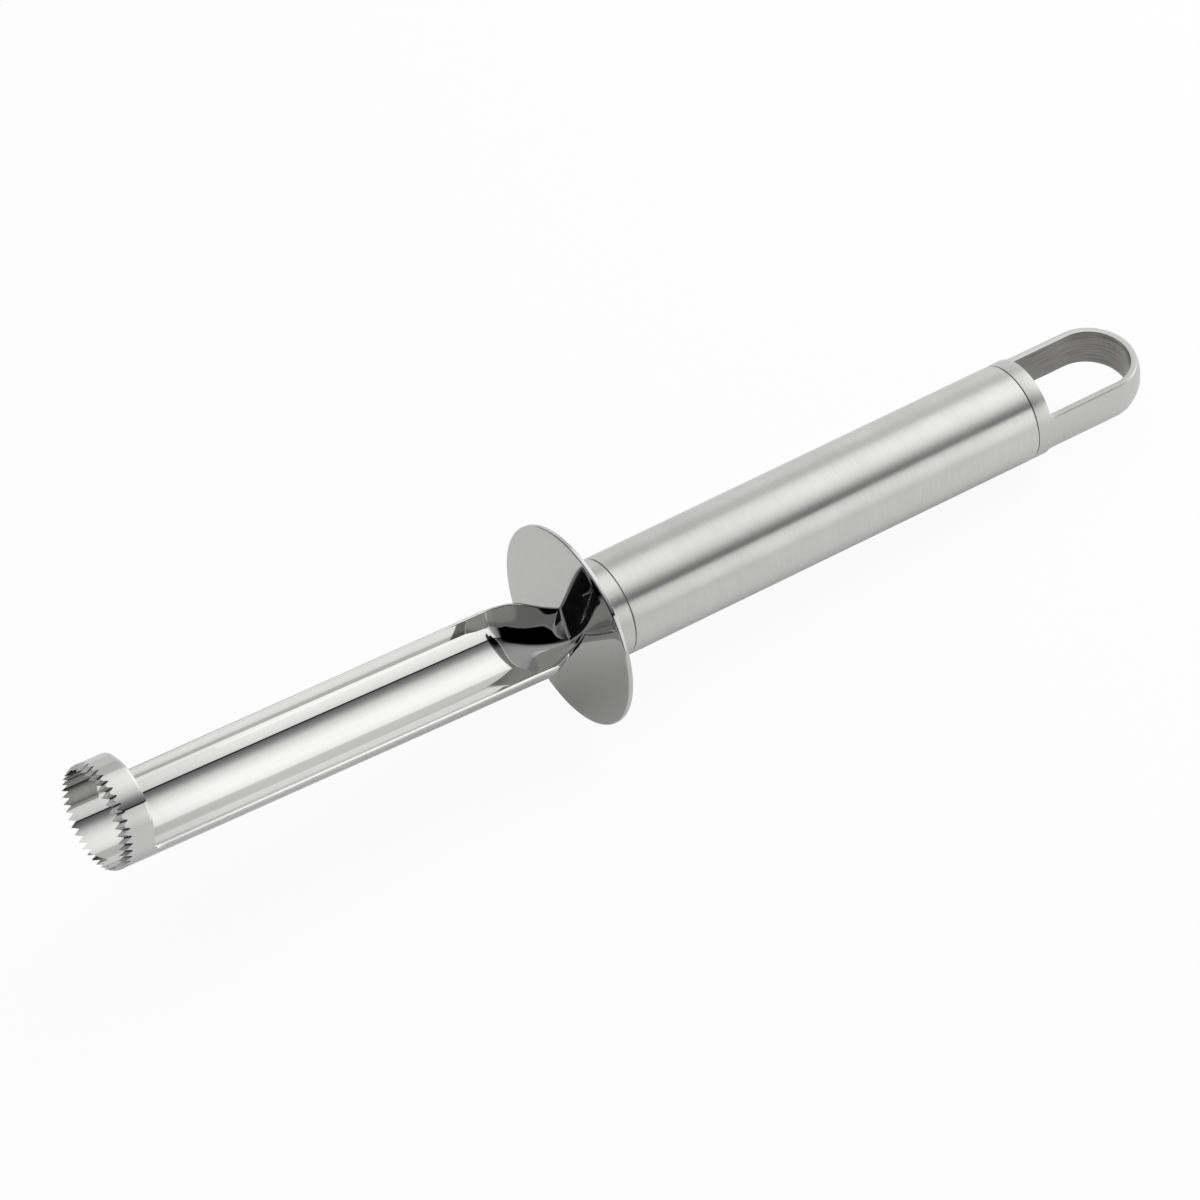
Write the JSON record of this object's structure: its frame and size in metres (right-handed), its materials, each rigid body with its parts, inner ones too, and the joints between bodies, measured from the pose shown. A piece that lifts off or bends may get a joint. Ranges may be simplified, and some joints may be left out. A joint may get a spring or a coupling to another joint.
{
  "type": "apple corer",
  "caption": "Stainless steel apple corer: toothed cutting ring on a half-open trough, round guard disc, round tubular handle and a flat hanging loop.",
  "frame": {"origin": "middle of the handle sleeve, on the axis of the handle", "axes": "+X along the handle towards the hanging loop, the toothed tip at -X; +Z towards the open side of the trough"},
  "size_m": [0.2457, 0.042, 0.042],
  "materials": {
    "polished_steel": "polished stainless steel",
    "brushed_steel": "satin stainless steel, brushed round the axis",
    "cast_steel": "satin cast stainless steel",
    "plug_resin": "matte"
  },
  "bodies": {
    "root": {"blade": "polished_steel", "guard_disc": "polished_steel", "front_ferrule": "brushed_steel", "tang_plug": "plug_resin", "handle_sleeve": "brushed_steel", "end_cap": "cast_steel"}
  },
  "joints": []
}
